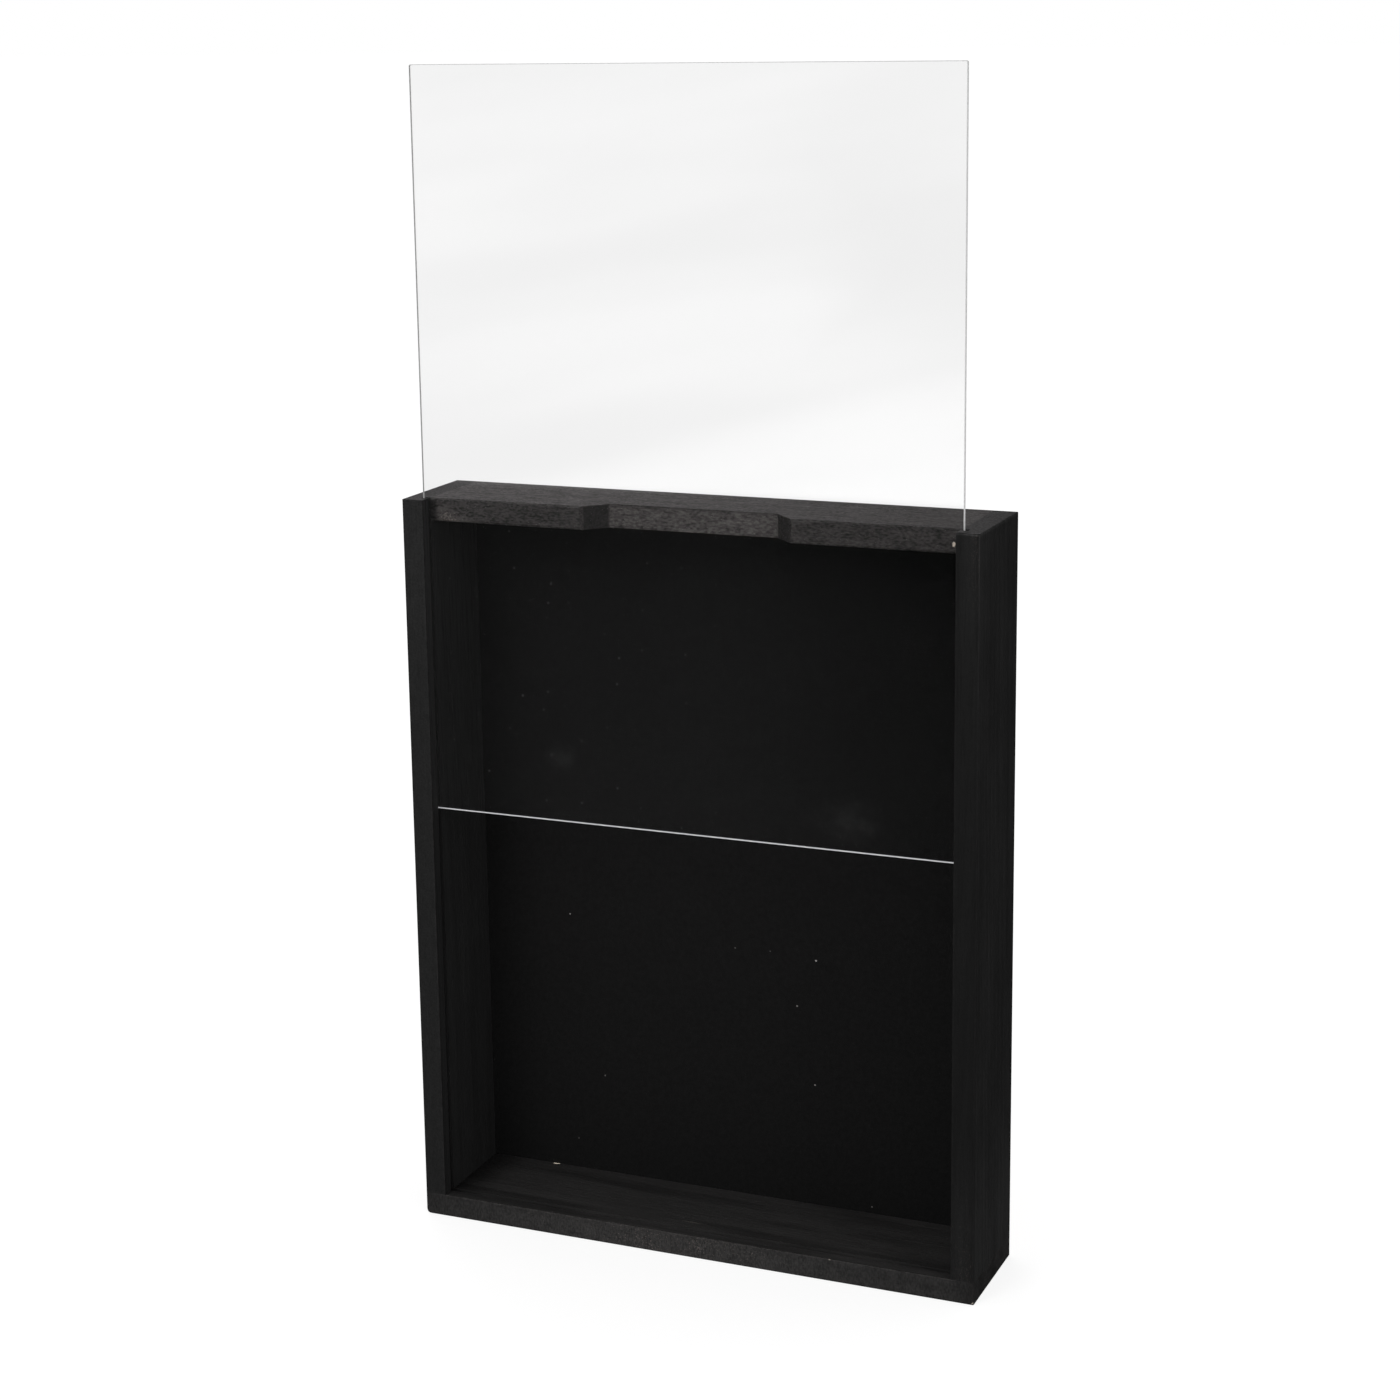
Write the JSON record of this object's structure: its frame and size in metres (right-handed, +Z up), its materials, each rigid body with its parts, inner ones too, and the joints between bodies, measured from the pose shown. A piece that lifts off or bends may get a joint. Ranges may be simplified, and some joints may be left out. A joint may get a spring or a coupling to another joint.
{
  "type": "display case",
  "caption": "Upright black wooden display case with a felt-lined back, a finger notch in the top board and a clear front pane that slides up in grooves in the side boards.",
  "frame": {"origin": "middle of the underside", "axes": "+X to the viewer's right, +Y from the front to the back, +Z up; the pane slides along Z"},
  "size_m": [0.305, 0.0652, 0.604],
  "materials": {
    "black_wood": "thin black paint with the grain showing, satin",
    "hardboard": "raw brown hardboard, matt",
    "black_felt": "short black felt, matt",
    "clear_acrylic": "clear and polished, cut edges frosted",
    "zinc_steel": "bright zinc plate"
  },
  "bodies": {
    "case": {"left_side_board": "black_wood", "right_side_board": "black_wood", "top_board": "black_wood", "bottom_board": "black_wood", "back_panel": "hardboard", "felt_lining": "black_felt", "top_brads": "zinc_steel", "bottom_brads": "zinc_steel", "back_staples": "zinc_steel", "left_hanger": "zinc_steel", "right_hanger": "zinc_steel", "hanger_nails": "zinc_steel"},
    "pane": {"sliding_pane": "clear_acrylic"}
  },
  "joints": [
    {"name": "pane_slide", "type": "slide", "parent": "case", "child": "pane", "axis": [0, 0, 1], "range_m": [-0.2162, 0.159]}
  ]
}
